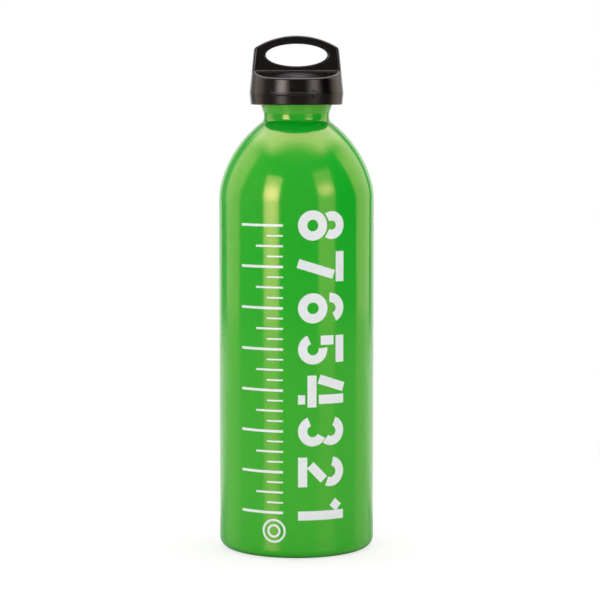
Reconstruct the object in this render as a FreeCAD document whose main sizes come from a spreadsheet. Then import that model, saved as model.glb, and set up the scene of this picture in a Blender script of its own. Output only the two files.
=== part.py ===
"""Camping fuel bottle: a one-piece aluminium bottle with a push-and-turn screw cap.

Millimetres, +Z up, origin at the centre of the plane that the bottle stands on.
The handle of the cap lies in the XZ plane, so its oval window is seen along Y.
"""
import FreeCAD
import Part
import math
import os
import re

import Sketcher

LEFT = 1
RIGHT = -1
SAME_LENGTH = 1e-4
QUARTERS_IN_TURN = 4
POINTS_IN_TURN = 40

SIZES = {
    # Body and base of the bottle
    "body_diameter": 80.0,
    "body_height": 181.0,
    "body_wall": 0.9,
    "base_thickness": 1.6,
    "base_corner_radius": 5.0,
    "standing_ring_width": 4.5,
    "base_dome_height": 5.0,
    "base_dome_edge_radius": 1.5,
    # Shoulder: two tangent arcs, the lower one tangent to the wall of the body
    "shoulder_lower_radius": 34.5,
    "shoulder_lower_angle": 15.3,
    "shoulder_upper_radius": 57.1,
    # Neck, from the shoulder up
    "neck_waist_diameter": 33.6,
    "neck_waist_length": 3.7,
    "neck_flare_length": 4.4,
    "neck_bead_diameter": 36.8,
    "neck_bead_length": 2.4,
    "neck_corner_radius": 3.0,
    "neck_flare_round": 6.0,
    "neck_root_depth": 2.7,
    "rim_lip_height": 1.4,
    "rim_round": 0.4,
    # Screw thread of the neck and of the stopper
    "thread_major_diameter": 28.2,
    "thread_depth": 1.2,
    "thread_pitch": 3.0,
    "thread_root_width": 1.7,
    "thread_crest_width": 0.9,
    "thread_clearance": 0.25,
    "thread_end_margin": 0.6,
    "thread_embed": 0.2,
    # Seal, as it is squeezed between the seat and the flange
    "o_ring_height": 2.6,
    "o_ring_flat_width": 1.6,
    "o_ring_bulge": 0.85,
    "o_ring_clearance": 0.3,
    # Stopper
    "flange_thickness": 2.0,
    "flange_clearance": 0.3,
    "flange_round": 0.4,
    "stopper_relief_length": 0.8,
    "stopper_reach": 1.5,
    "stopper_floor": 2.5,
    "stopper_tip_chamfer": 0.8,
    "cup_diameter": 16.8,
    "vent_slot_width": 2.0,
    "vent_slot_depth": 0.6,
    "vent_slot_count": 2,
    # Drive lugs of the stopper and of the cap, clear of each other until the cap is pushed down
    "lug_count": 12,
    "lug_width": 3.0,
    "lug_height": 1.3,
    "lug_gap": 0.8,
    "lug_inner_diameter": 28.0,
    "lug_outer_diameter": 38.0,
    # Cap, with heights counted from its lower edge
    "cap_skirt_depth": 10.4,
    "cap_lower_diameter": 47.2,
    "cap_widest_diameter": 48.4,
    "cap_widest_height": 5.9,
    "cap_draft_angle": 5.7,
    "cap_bore_diameter": 41.8,
    "cap_height": 35.3,
    "cap_knee_round": 6.0,
    "cap_edge_round": 0.6,
    # Loop handle of the cap, and the two scoops that leave it standing
    "handle_thickness": 11.0,
    "handle_top_radius": 40.3,
    "handle_corner_radius": 2.2,
    "handle_root_radius": 2.0,
    "handle_edge_radius": 1.4,
    "deck_lip_height": 13.4,
    "deck_root_height": 17.3,
    "deck_curve_radius": 70.0,
    "window_width": 31.6,
    "window_height": 11.4,
    "window_centre_height": 25.4,
    "window_edge_radius": 1.2,
    # Spigot that guides the spring under the ceiling of the cap
    "spigot_diameter": 10.4,
    "spigot_length": 9.0,
    "spigot_round": 1.0,
    # Snap ring that holds the cap on the flange
    "ring_thickness": 1.2,
    "ring_inner_diameter": 38.0,
    "ring_groove_depth": 1.1,
    "ring_clearance": 0.1,
    "ring_gap": 8.0,
    # Washer and spring
    "washer_diameter": 16.0,
    "washer_thickness": 0.8,
    "washer_clearance": 0.3,
    "spring_wire": 1.1,
    "spring_mean_diameter": 13.0,
    "spring_turns": 7,
    # How far every cutting shape runs past what it cuts
    "cut_overrun": 2.0,
}

DERIVED = {
    "body_radius": "body_diameter / 2",
    "inner_radius": "body_radius - body_wall",
    "inner_corner_radius": "base_corner_radius - body_wall",
    "dome_edge": "body_radius - base_corner_radius - standing_ring_width",
    "dome_radius": "(dome_edge ^ 2 + base_dome_height ^ 2) / (2 * base_dome_height)",
    "angle_cos": "cos(shoulder_lower_angle)",
    "angle_sin": "sin(shoulder_lower_angle)",
    "turn_radius": "body_radius - shoulder_lower_radius * (1 - angle_cos)",
    "turn_level": "body_height + shoulder_lower_radius * angle_sin",
    "arc_centre_radius": "turn_radius - shoulder_upper_radius * angle_cos",
    "arc_centre_level": "turn_level - shoulder_upper_radius * angle_sin",
    "waist_radius": "neck_waist_diameter / 2",
    "bead_radius": "neck_bead_diameter / 2",
    "shoulder_top": "arc_centre_level"
                    " + sqrt(shoulder_upper_radius ^ 2 - (waist_radius - arc_centre_radius) ^ 2)",
    "flare_level": "shoulder_top + neck_waist_length",
    "bead_level": "flare_level + neck_flare_length",
    "seat_level": "bead_level + neck_bead_length",
    "rim_level": "seat_level + rim_lip_height",
    "throat_level": "shoulder_top - neck_root_depth",
    "neck_bore_radius": "thread_major_diameter / 2",
    "inner_turn_radius": "turn_radius - body_wall * angle_cos",
    "inner_turn_level": "turn_level - body_wall * angle_sin",
    "throat_across": "inner_turn_radius - neck_bore_radius",
    "throat_rise": "throat_level - inner_turn_level",
    "inner_shoulder_radius": "(throat_across ^ 2 + throat_rise ^ 2)"
                             " / (2 * (throat_across * angle_cos - throat_rise * angle_sin))",
    "neck_thread_start": "throat_level + thread_end_margin + thread_root_width / 2",
    "stopper_crest_radius": "neck_bore_radius - thread_clearance",
    "stopper_core_radius": "stopper_crest_radius - thread_depth",
    "o_ring_middle_radius": "stopper_crest_radius + o_ring_flat_width / 2 + o_ring_bulge",
    "o_ring_side_radius": "(o_ring_bulge ^ 2 + o_ring_height ^ 2 / 4) / (2 * o_ring_bulge)",
    "o_ring_inner_radius": "o_ring_middle_radius - o_ring_flat_width / 2 - o_ring_bulge",
    "o_ring_outer_radius": "o_ring_middle_radius + o_ring_flat_width / 2 + o_ring_bulge",
    "seat_radius": "o_ring_outer_radius + o_ring_clearance",
    "relief_radius": "o_ring_inner_radius - o_ring_clearance",
    "relief_level": "seat_level - stopper_relief_length",
    "neck_thread_rise": "relief_level - thread_end_margin - thread_root_width / 2 - neck_thread_start",
    "flange_bottom": "seat_level + o_ring_height",
    "flange_top": "flange_bottom + flange_thickness",
    "cap_bore_radius": "cap_bore_diameter / 2",
    "flange_radius": "cap_bore_radius - flange_clearance",
    "stopper_bottom": "throat_level - stopper_reach",
    "stopper_thread_start": "neck_thread_start - thread_pitch / 2",
    "stopper_thread_rise": "relief_level - thread_end_margin - thread_root_width / 2"
                           " - stopper_thread_start",
    "cup_floor": "stopper_bottom + stopper_floor",
    "ceiling": "flange_top + 2 * lug_height + lug_gap",
    "cap_bottom": "ceiling - cap_skirt_depth",
    "cap_top": "cap_bottom + cap_height",
    "cap_widest_radius": "cap_widest_diameter / 2",
    "cap_widest_level": "cap_bottom + cap_widest_height",
    "cone_end_level": "cap_top + cut_overrun",
    "cone_end_radius": "cap_widest_radius - (cone_end_level - cap_widest_level) * tan(cap_draft_angle)",
    "top_arc_level": "cap_top - handle_top_radius + sqrt(handle_top_radius ^ 2 - cap_widest_radius ^ 2)",
    "handle_face": "handle_thickness / 2",
    "deck_lip_level": "cap_bottom + deck_lip_height",
    "deck_root_level": "cap_bottom + deck_root_height",
    "window_level": "cap_bottom + window_centre_height",
    "spigot_radius": "spigot_diameter / 2",
    "spigot_end": "ceiling - spigot_length",
    "ring_bottom": "flange_bottom - ring_thickness",
    "groove_radius": "cap_bore_radius + ring_groove_depth",
    "groove_top": "flange_bottom + ring_clearance",
    "washer_bottom": "ceiling - washer_thickness",
}

doc = FreeCAD.newDocument("fuel_bottle")
sheet = doc.addObject("Spreadsheet::Sheet", "sizes")


def fill_sheet():
    """Write the driving sizes, then the sizes that follow from them, one row each."""
    rows = [(name, str(size)) for name, size in SIZES.items()]
    rows += [(name, "=" + formula) for name, formula in DERIVED.items()]
    for row, (name, content) in enumerate(rows, start=1):
        sheet.set(f"A{row}", name)
        sheet.set(f"B{row}", content)
        sheet.setAlias(f"B{row}", name)
    doc.recompute()


def bound(formula):
    """The formula as an expression, with each name of the sheet turned into its cell."""
    def cell(word):
        known = word[0] in SIZES or word[0] in DERIVED
        return "sizes." + word[0] if known else word[0]
    return re.sub(r"[a-z_]+", cell, formula)


def value(formula):
    """What a formula comes to at the sizes in the sheet."""
    return float(sheet.evalExpression(bound(formula)))


def close(one, other):
    """Whether two lengths agree."""
    return abs(one - other) < SAME_LENGTH


def bind(item, **formulas):
    """Bind properties of an object to formulas. A double underscore in a name stands for a dot."""
    for name, formula in formulas.items():
        item.setExpression(name.replace("__", "."), bound(formula))


def origin_part(body, role):
    """One of the body's own origin planes or axes."""
    return next(item for item in body.Origin.OriginFeatures if item.Role == role)


def new_body(name):
    """An empty body that carries the sub-part's name."""
    body = doc.addObject("PartDesign::Body", name)
    body.Label = name
    return body


def new_sketch(body, name, role, **offset):
    """A sketch in one of the body's origin planes, moved or turned by formulas where they are given."""
    sketch = body.newObject("Sketcher::SketchObject", name)
    sketch.AttachmentSupport = [(origin_part(body, role), "")]
    sketch.MapMode = "FlatFace"
    unturned = FreeCAD.Rotation(FreeCAD.Vector(0, 0, 1), 0)
    sketch.AttachmentOffset = FreeCAD.Placement(FreeCAD.Vector(), unturned)
    bind(sketch, **{"AttachmentOffset__" + part: formula for part, formula in offset.items()})
    return sketch


def hold(sketch, edge, point, across, up):
    """Hold a point of the sketch at two formulas, measured from the origin."""
    for kind, formula, axis in (("DistanceX", across, -2), ("DistanceY", up, -1)):
        size = value(formula)
        if formula == "0":
            sketch.addConstraint(Sketcher.Constraint("PointOnObject", edge, point, axis))
        elif size > 0:
            number = sketch.addConstraint(Sketcher.Constraint(kind, -1, 1, edge, point, size))
            sketch.setExpression(f"Constraints[{number}]", bound(formula))
        else:
            number = sketch.addConstraint(Sketcher.Constraint(kind, edge, point, -1, 1, -size))
            sketch.setExpression(f"Constraints[{number}]", bound(f"-({formula})"))


def arc_between(start, end, radius, turn):
    """The lesser arc of a circle from start to end, which turns left or right on its way."""
    chord = end - start
    middle = (start + end) / 2
    rise = math.sqrt(radius ** 2 - chord.Length ** 2 / 4)
    centre = middle + FreeCAD.Vector(-chord.y, chord.x, 0).normalize() * rise * turn
    first, last = (start, end) if turn == LEFT else (end, start)
    angles = [math.atan2(point.y - centre.y, point.x - centre.x) for point in (first, last)]
    return Part.ArcOfCircle(Part.Circle(centre, FreeCAD.Vector(0, 0, 1), radius), *angles)


def draw_loop(sketch, corners):
    """Close a loop through corners given as pairs of formulas.

    A corner with two more entries, a radius and a turn, starts an arc. Any other corner starts a line.
    """
    points = [FreeCAD.Vector(value(corner[0]), value(corner[1]), 0) for corner in corners]
    ends = []
    for corner, start, end in zip(corners, points, points[1:] + points[:1]):
        if len(corner) == 2:
            edge = sketch.addGeometry(Part.LineSegment(start, end), False)
            ends.append((edge, 1, 2))
        else:
            radius, turn = corner[2:]
            edge = sketch.addGeometry(arc_between(start, end, value(radius), turn), False)
            ends.append((edge, 1, 2) if turn == LEFT else (edge, 2, 1))
            number = sketch.addConstraint(Sketcher.Constraint("Radius", edge, value(radius)))
            sketch.setExpression(f"Constraints[{number}]", bound(radius))
    for (edge, start, end), (next_edge, next_start, next_end) in zip(ends, ends[1:] + ends[:1]):
        sketch.addConstraint(Sketcher.Constraint("Coincident", edge, end, next_edge, next_start))
    for corner, (edge, start, end) in zip(corners, ends):
        hold(sketch, edge, start, corner[0], corner[1])
    doc.recompute()


def draw_ellipse(sketch, centre_up, width, height):
    """An upright ellipse on the sketch's vertical axis, from formulas."""
    middle = FreeCAD.Vector(0, value(centre_up), 0)
    side = middle + FreeCAD.Vector(value(width) / 2, 0, 0)
    top = middle + FreeCAD.Vector(0, value(height) / 2, 0)
    oval = sketch.addGeometry(Part.Ellipse(side, top, middle), False)
    sketch.exposeInternalGeometry(oval)
    long_axis, short_axis = oval + 1, oval + 2
    sketch.addConstraint(Sketcher.Constraint("Horizontal", long_axis))
    hold(sketch, oval, 3, "0", centre_up)
    for axis, formula in ((long_axis, width), (short_axis, height)):
        number = sketch.addConstraint(Sketcher.Constraint("Distance", axis, value(formula)))
        sketch.setExpression(f"Constraints[{number}]", bound(formula))
    doc.recompute()


def add_feature(body, kind, name, sketch, **settings):
    """A sketched feature of the body, with its plain settings."""
    feature = body.newObject("PartDesign::" + kind, name)
    feature.Profile = sketch
    for setting, choice in settings.items():
        setattr(feature, setting, choice)
    return feature


def cut_through(body, name, sketch, length):
    """Cut a sketch's outline out of the body, half of the length to each side of the sketch."""
    pocket = add_feature(body, "Pocket", name, sketch, SideType="Symmetric")
    bind(pocket, Length=length)
    doc.recompute()
    return pocket


def revolve(body, kind, name, corners):
    """Turn a loop, drawn in the XZ plane, once round the Z axis."""
    sketch = new_sketch(body, name + "_sketch", "XZ_Plane")
    draw_loop(sketch, corners)
    feature = add_feature(body, kind, name, sketch, ReferenceAxis=(sketch, ["V_Axis"]), Angle=360)
    doc.recompute()
    return feature


def add_thread(body, start, rise, root_radius, crest_radius):
    """A right-hand ridge of trapezoid section that climbs round the Z axis."""
    sketch = new_sketch(body, "thread_sketch", "XZ_Plane")
    draw_loop(sketch, [
        (root_radius, f"{start} - thread_root_width / 2"),
        (crest_radius, f"{start} - thread_crest_width / 2"),
        (crest_radius, f"{start} + thread_crest_width / 2"),
        (root_radius, f"{start} + thread_root_width / 2"),
    ])
    thread = add_feature(body, "AdditiveHelix", "thread", sketch, ReferenceAxis=(sketch, ["V_Axis"]),
                         Mode="pitch-height-angle")
    bind(thread, Pitch="thread_pitch", Height=rise)
    doc.recompute()
    return thread


def draw_block(sketch, near, far, width):
    """A rectangle across the sketch's horizontal axis, from one distance out to another."""
    draw_loop(sketch, [
        (near, f"-{width} / 2"),
        (far, f"-{width} / 2"),
        (far, f"{width} / 2"),
        (near, f"{width} / 2"),
    ])


def repeat_round(body, feature, count):
    """Repeat a feature evenly round the Z axis."""
    pattern = body.newObject("PartDesign::PolarPattern", feature.Name + "_pattern")
    pattern.Originals = [feature]
    pattern.Axis = (origin_part(body, "Z_Axis"), [""])
    pattern.Angle = 360
    bind(pattern, Occurrences=count)
    body.Tip = pattern
    doc.recompute()
    return pattern


def add_lugs(body, name, level, downwards, turn):
    """A ring of drive lugs that stand on a level plane, turned by a formula in degrees."""
    sketch = new_sketch(body, name + "_sketch", "XY_Plane", Base__z=level, Rotation__Angle=turn)
    draw_block(sketch, "lug_inner_diameter / 2", "lug_outer_diameter / 2", "lug_width")
    lug = add_feature(body, "Pad", name, sketch, Reversed=downwards)
    bind(lug, Length="lug_height")
    doc.recompute()
    return repeat_round(body, lug, "lug_count")


def round_edges(body, name, radius, test):
    """Round the edges of the body's last feature that pass a test, by a formula."""
    base = body.Tip
    edges = enumerate(base.Shape.Edges, start=1)
    names = [f"Edge{number}" for number, edge in edges if not edge.Degenerated and test(edge)]
    if not names:
        raise ValueError(f"{body.Label}: no edge to round for {name}")
    fillet = body.newObject("PartDesign::Fillet", name)
    fillet.Base = (base, names)
    bind(fillet, Radius=radius)
    doc.recompute()
    return fillet


def on_ring(*rings):
    """A test for the circles round the Z axis that have one of the given radius and level formulas."""
    wanted = [(value(radius), value(level)) for radius, level in rings]

    def test(edge):
        if not isinstance(edge.Curve, Part.Circle):
            return False
        size, height = edge.Curve.Radius, edge.Curve.Center.z
        return any(close(size, radius) and close(height, level) for radius, level in wanted)
    return test


def middle_of(edge):
    """The point half way along an edge, and its direction there."""
    at = (edge.FirstParameter + edge.LastParameter) / 2
    return edge.valueAt(at), edge.tangentAt(at)


def make_bottle_shell():
    """The bottle: base, wall, shoulder and threaded neck as one shell, turned about Z."""
    body = new_body("bottle_shell")
    revolve(body, "Revolution", "vessel", [
        ("0", "base_dome_height", "dome_radius", RIGHT),
        ("dome_edge", "0"),
        ("body_radius - base_corner_radius", "0", "base_corner_radius", LEFT),
        ("body_radius", "base_corner_radius"),
        ("body_radius", "body_height", "shoulder_lower_radius", LEFT),
        ("turn_radius", "turn_level", "shoulder_upper_radius", LEFT),
        ("waist_radius", "shoulder_top"),
        ("waist_radius", "flare_level"),
        ("bead_radius", "bead_level"),
        ("bead_radius", "rim_level"),
        ("seat_radius", "rim_level"),
        ("seat_radius", "seat_level"),
        ("neck_bore_radius", "seat_level"),
        ("neck_bore_radius", "throat_level", "inner_shoulder_radius", RIGHT),
        ("inner_turn_radius", "inner_turn_level", "shoulder_lower_radius - body_wall", RIGHT),
        ("inner_radius", "body_height"),
        ("inner_radius", "base_thickness + inner_corner_radius", "inner_corner_radius", RIGHT),
        ("inner_radius - inner_corner_radius", "base_thickness"),
        ("dome_edge", "base_thickness", "dome_radius", LEFT),
        ("0", "base_dome_height + base_thickness"),
    ])
    round_edges(body, "neck_corner", "neck_corner_radius", on_ring(("waist_radius", "shoulder_top")))
    round_edges(body, "neck_flare", "neck_flare_round",
                on_ring(("waist_radius", "flare_level"), ("bead_radius", "bead_level")))
    round_edges(body, "base_edge", "base_dome_edge_radius", on_ring(("dome_edge", "0")))
    round_edges(body, "rim_edge", "rim_round",
                on_ring(("bead_radius", "rim_level"), ("seat_radius", "rim_level")))
    add_thread(body, "neck_thread_start", "neck_thread_rise", "neck_bore_radius + thread_embed",
               "neck_bore_radius - thread_depth")
    return body


def make_stopper():
    """The plug that screws into the neck, with the flange over the seal and the lugs that drive it."""
    body = new_body("stopper")
    revolve(body, "Revolution", "plug", [
        ("0", "stopper_bottom"),
        ("stopper_core_radius - stopper_tip_chamfer", "stopper_bottom"),
        ("stopper_core_radius", "stopper_bottom + stopper_tip_chamfer"),
        ("stopper_core_radius", "relief_level"),
        ("relief_radius", "relief_level"),
        ("relief_radius", "flange_bottom"),
        ("flange_radius", "flange_bottom"),
        ("flange_radius", "flange_top"),
        ("cup_diameter / 2", "flange_top"),
        ("cup_diameter / 2", "cup_floor"),
        ("0", "cup_floor"),
    ])
    round_edges(body, "flange_edge", "flange_round", on_ring(("flange_radius", "flange_top")))
    add_thread(body, "stopper_thread_start", "stopper_thread_rise", "stopper_core_radius - thread_embed",
               "stopper_crest_radius")
    vent_sketch = new_sketch(body, "vent_sketch", "XY_Plane", Base__z="stopper_bottom")
    draw_block(vent_sketch, "stopper_core_radius - vent_slot_depth", "stopper_crest_radius + cut_overrun",
               "vent_slot_width")
    vent = add_feature(body, "Pocket", "vent", vent_sketch, Reversed=True)
    bind(vent, Length="relief_level - stopper_bottom")
    doc.recompute()
    repeat_round(body, vent, "vent_slot_count")
    add_lugs(body, "drive_lug", "flange_top", False, "180 / lug_count")
    return body


def make_o_ring():
    """The seal, squeezed flat between the seat in the neck and the flange of the stopper."""
    body = new_body("o_ring")
    inner = "o_ring_middle_radius - o_ring_flat_width / 2"
    outer = "o_ring_middle_radius + o_ring_flat_width / 2"
    revolve(body, "Revolution", "seal", [
        (inner, "seat_level"),
        (outer, "seat_level", "o_ring_side_radius", LEFT),
        (outer, "flange_bottom"),
        (inner, "flange_bottom", "o_ring_side_radius", LEFT),
    ])
    return body


def make_cap_shell():
    """The moulded cap: a tapered skirt and, above two scooped decks, a loop handle with an oval window."""
    body = new_body("cap_shell")
    revolve(body, "Revolution", "blank", [
        ("0", "cap_bottom"),
        ("cap_lower_diameter / 2", "cap_bottom"),
        ("cap_widest_radius", "cap_widest_level"),
        ("cone_end_radius", "cone_end_level"),
        ("0", "cone_end_level"),
    ])
    cut_handle_top(body)
    cut_scoops(body)
    round_handle(body)
    cut_window(body)
    round_edges(body, "skirt_knee", "cap_knee_round", on_ring(("cap_widest_radius", "cap_widest_level")))
    revolve(body, "Groove", "hollow", [
        ("0", "spigot_end"),
        ("0", "cap_bottom - cut_overrun"),
        ("cap_bore_radius", "cap_bottom - cut_overrun"),
        ("cap_bore_radius", "ring_bottom"),
        ("groove_radius", "ring_bottom"),
        ("groove_radius", "groove_top"),
        ("cap_bore_radius", "groove_top"),
        ("cap_bore_radius", "ceiling"),
        ("spigot_radius", "ceiling"),
        ("spigot_radius", "spigot_end"),
    ])
    round_edges(body, "skirt_edge", "cap_edge_round",
                on_ring(("cap_lower_diameter / 2", "cap_bottom"), ("cap_bore_radius", "cap_bottom")))
    round_edges(body, "spigot_edge", "spigot_round", on_ring(("spigot_radius", "spigot_end")))
    add_lugs(body, "catch_lug", "ceiling", True, "0")
    return body


def cut_handle_top(body):
    """Cut the blank to the arched top of the handle, seen along Y."""
    sketch = new_sketch(body, "top_sketch", "XZ_Plane")
    draw_loop(sketch, [
        ("cap_widest_radius", "top_arc_level", "handle_top_radius", LEFT),
        ("-cap_widest_radius", "top_arc_level"),
        ("-cap_widest_radius", "cone_end_level + cut_overrun"),
        ("cap_widest_radius", "cone_end_level + cut_overrun"),
    ])
    cut_through(body, "handle_top", sketch, "cap_widest_diameter + cut_overrun")


def cut_scoops(body):
    """Cut the deck in front of the handle, seen along X, and mirror it to the back."""
    sketch = new_sketch(body, "scoop_sketch", "YZ_Plane")
    draw_loop(sketch, [
        ("handle_face", "deck_root_level", "deck_curve_radius", LEFT),
        ("cap_widest_radius", "deck_lip_level"),
        ("cap_widest_radius + cut_overrun", "deck_lip_level"),
        ("cap_widest_radius + cut_overrun", "cone_end_level"),
        ("handle_face", "cone_end_level"),
    ])
    scoop = cut_through(body, "scoop", sketch, "cap_widest_diameter + cut_overrun")
    mirror = body.newObject("PartDesign::Mirrored", "scoops")
    mirror.Originals = [scoop]
    mirror.MirrorPlane = (origin_part(body, "XZ_Plane"), [""])
    body.Tip = mirror
    doc.recompute()


def round_handle(body):
    """Round the root and the upper corners of the handle, then the rims of the two scoops."""
    face = value("handle_face")
    lip = value("deck_lip_level")
    root = value("deck_root_level")

    def is_root(edge):
        point, way = middle_of(edge)
        return close(abs(point.y), face) and close(point.z, root) and close(abs(way.x), 1)

    def is_corner(edge):
        point, way = middle_of(edge)
        return abs(point.y) < face - SAME_LENGTH and point.z > root and abs(way.y) > abs(way.z)

    def is_rim(edge):
        point, way = middle_of(edge)
        outside = abs(point.y) > face - SAME_LENGTH and point.z > lip
        return outside and not isinstance(edge.Curve, Part.Line)

    round_edges(body, "handle_root", "handle_root_radius", is_root)
    round_edges(body, "handle_corner", "handle_corner_radius", is_corner)
    round_edges(body, "handle_rim", "handle_edge_radius", is_rim)


def cut_window(body):
    """Cut the oval window through the handle and round its rims."""
    sketch = new_sketch(body, "window_sketch", "XZ_Plane")
    draw_ellipse(sketch, "window_level", "window_width", "window_height")
    cut_through(body, "window", sketch, "handle_thickness + cut_overrun")
    face = value("handle_face")
    round_edges(body, "window_rim", "window_edge_radius",
                lambda edge: edge.isClosed() and close(abs(middle_of(edge)[0].y), face))


def make_disc(name, radius, height, level):
    """An upright cylinder from formulas."""
    disc = doc.addObject("Part::Cylinder", name)
    bind(disc, Radius=radius, Height=height, Placement__Base__z=level)
    return disc


def make_cut(name, base, tool):
    """One shape less another."""
    cut = doc.addObject("Part::Cut", name)
    cut.Label = name
    cut.Base = base
    cut.Tool = tool
    doc.recompute()
    return cut


def make_retaining_ring():
    """The split snap ring that sits in the groove of the cap, under the flange."""
    blank = make_disc("ring_blank", "groove_radius - ring_clearance", "ring_thickness", "ring_bottom")
    hole = make_disc("ring_hole", "ring_inner_diameter / 2", "ring_thickness + 2 * cut_overrun",
                     "ring_bottom - cut_overrun")
    gap = doc.addObject("Part::Box", "ring_split")
    bind(gap, Length="groove_radius + cut_overrun", Width="ring_gap",
         Height="ring_thickness + 2 * cut_overrun",
         Placement__Base__y="-ring_gap / 2", Placement__Base__z="ring_bottom - cut_overrun")
    return make_cut("retaining_ring", make_cut("closed_ring", blank, hole), gap)


def make_thrust_washer():
    """The washer between the spring and the ceiling of the cap, round the spigot."""
    blank = make_disc("washer_blank", "washer_diameter / 2", "washer_thickness", "washer_bottom")
    hole = make_disc("washer_hole", "spigot_radius + washer_clearance", "washer_thickness + 2 * cut_overrun",
                     "washer_bottom - cut_overrun")
    return make_cut("thrust_washer", blank, hole)


def biarc(start, start_way, end, end_way):
    """Two tangent arcs from start to end that leave and arrive along the given unit directions."""
    step = end - start
    both = start_way + end_way
    spread = 2 * (1 - start_way.dot(end_way))
    along = step.dot(both)
    reach = (math.sqrt(along ** 2 + spread * step.dot(step)) - along) / spread
    bends = [start + start_way * reach, end - end_way * reach]
    joint = (bends[0] + bends[1]) / 2
    arcs = []
    for first, bend, last in ((start, bends[0], joint), (joint, bends[1], end)):
        middle = (first + last) / 2
        half = (last - first).Length / 2
        out = bend - middle
        turn = math.pi / 2 - math.atan2(half, out.Length)
        crown = middle + out.normalize() * half * math.tan(turn / 2)
        arcs.append(Part.Arc(first, crown, last).toShape())
    return arcs


def make_push_spring():
    """The spring: one round wire in open turns, ground flat where it meets the stopper and the washer."""
    radius = value("spring_mean_diameter / 2")
    wire_radius = value("spring_wire / 2")
    bottom = value("cup_floor")
    height = value("washer_bottom - cup_floor")
    turns = value("spring_turns")
    quarters = round(QUARTERS_IN_TURN * turns)

    def place(share):
        angle = 2 * math.pi * turns * share
        return FreeCAD.Vector(radius * math.cos(angle), radius * math.sin(angle), bottom + height * share)

    def direction(share):
        angle = 2 * math.pi * turns * share
        round_step = 2 * math.pi * turns * radius
        return FreeCAD.Vector(-round_step * math.sin(angle), round_step * math.cos(angle), height).normalize()

    shares = [index / quarters for index in range(quarters + 1)]
    arcs = []
    for share, next_share in zip(shares, shares[1:]):
        arcs += biarc(place(share), direction(share), place(next_share), direction(next_share))
    path = Part.Wire(arcs)
    section = Part.Wire(Part.Circle(place(0), direction(0), wire_radius).toShape())
    tube = path.makePipeShell([section], True, False)
    reach = radius + 2 * wire_radius
    ground = Part.makeCylinder(reach, height, FreeCAD.Vector(0, 0, bottom))
    spring = doc.addObject("Part::Feature", "push_spring")
    spring.Label = "push_spring"
    spring.Shape = tube.common(ground).Solids[0]
    print_least_gap(path, 2 * wire_radius, turns)
    return spring


def print_least_gap(path, wire, turns):
    """Measure, on points of the wire's middle line, how near the spring's turns come to each other."""
    points = path.discretize(Number=round(POINTS_IN_TURN * turns))
    half_turn = POINTS_IN_TURN // 2
    gaps = [(one - other).Length for index, one in enumerate(points) for other in points[index + half_turn:]]
    print(f"push_spring: least gap to itself {min(gaps) - wire:.2f} mm")


def check(pieces):
    """Stop if any object failed, or a sub-part isn't one valid solid."""
    for item in doc.Objects:
        if "Invalid" in item.State or "Error" in item.State:
            raise ValueError(f"{item.Name} failed: {item.State}")
    for piece in pieces:
        shape = piece.Shape
        if shape.isNull() or not shape.isValid() or len(shape.Solids) != 1:
            raise ValueError(f"{piece.Label} isn't one valid solid")


fill_sheet()
PIECES = [
    make_bottle_shell(),
    make_stopper(),
    make_o_ring(),
    make_push_spring(),
    make_thrust_washer(),
    make_retaining_ring(),
    make_cap_shell(),
]
doc.recompute()
check(PIECES)
os.makedirs("parts", exist_ok=True)
for piece in PIECES:
    piece.Shape.exportStep(f"parts/{piece.Label}.step")
    print(f"{piece.Label}: {piece.Shape.Volume / 1000:.2f} cm3")
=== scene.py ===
"""Looks of the camping fuel bottle: green lacquer, white print, moulded black cap and a pale studio.

Metres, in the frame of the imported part: +Z up, -Y the front, origin under the middle of the base.
"""
import math

import bpy
import numpy as np
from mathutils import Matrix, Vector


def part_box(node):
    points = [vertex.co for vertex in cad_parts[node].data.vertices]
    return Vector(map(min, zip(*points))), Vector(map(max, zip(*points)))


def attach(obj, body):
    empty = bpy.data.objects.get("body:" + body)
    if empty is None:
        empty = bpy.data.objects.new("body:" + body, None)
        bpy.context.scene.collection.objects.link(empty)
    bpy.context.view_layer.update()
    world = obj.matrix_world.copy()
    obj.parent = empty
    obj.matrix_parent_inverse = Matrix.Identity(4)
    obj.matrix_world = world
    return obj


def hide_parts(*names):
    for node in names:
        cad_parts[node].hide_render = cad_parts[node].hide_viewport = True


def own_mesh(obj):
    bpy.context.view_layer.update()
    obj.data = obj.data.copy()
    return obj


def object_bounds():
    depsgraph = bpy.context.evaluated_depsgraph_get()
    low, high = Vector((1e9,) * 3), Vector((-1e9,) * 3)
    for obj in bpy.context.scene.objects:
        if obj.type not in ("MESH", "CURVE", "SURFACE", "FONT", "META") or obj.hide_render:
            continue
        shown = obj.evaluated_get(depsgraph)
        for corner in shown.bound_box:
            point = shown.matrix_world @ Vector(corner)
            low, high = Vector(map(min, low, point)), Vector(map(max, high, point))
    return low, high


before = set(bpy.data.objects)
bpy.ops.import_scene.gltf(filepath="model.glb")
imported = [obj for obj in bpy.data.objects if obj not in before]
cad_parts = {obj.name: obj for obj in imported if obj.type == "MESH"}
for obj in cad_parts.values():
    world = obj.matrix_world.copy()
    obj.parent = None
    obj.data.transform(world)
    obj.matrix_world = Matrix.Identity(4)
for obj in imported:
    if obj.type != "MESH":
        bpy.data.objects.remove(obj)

CAD_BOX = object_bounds()
SHELL_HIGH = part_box("bottle_shell")[1]
CAP_LOW, CAP_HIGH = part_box("cap_shell")
SPRING_LOW, SPRING_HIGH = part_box("push_spring")
PLUG_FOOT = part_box("stopper")[0].z
SEAL_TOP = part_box("o_ring")[1].z

# Bottle: the radius of its body and the level of its rim come from its box, the rest is as in the source
BODY_RADIUS = SHELL_HIGH.x
RIM_LEVEL = SHELL_HIGH.z
RIM_DEPTH = 0.003
BODY_WALL = 0.0009
BASE_DEPTH = 0.010
NECK_BORE_RADIUS = 0.0150
NECK_LEVEL = 0.2150

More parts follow.
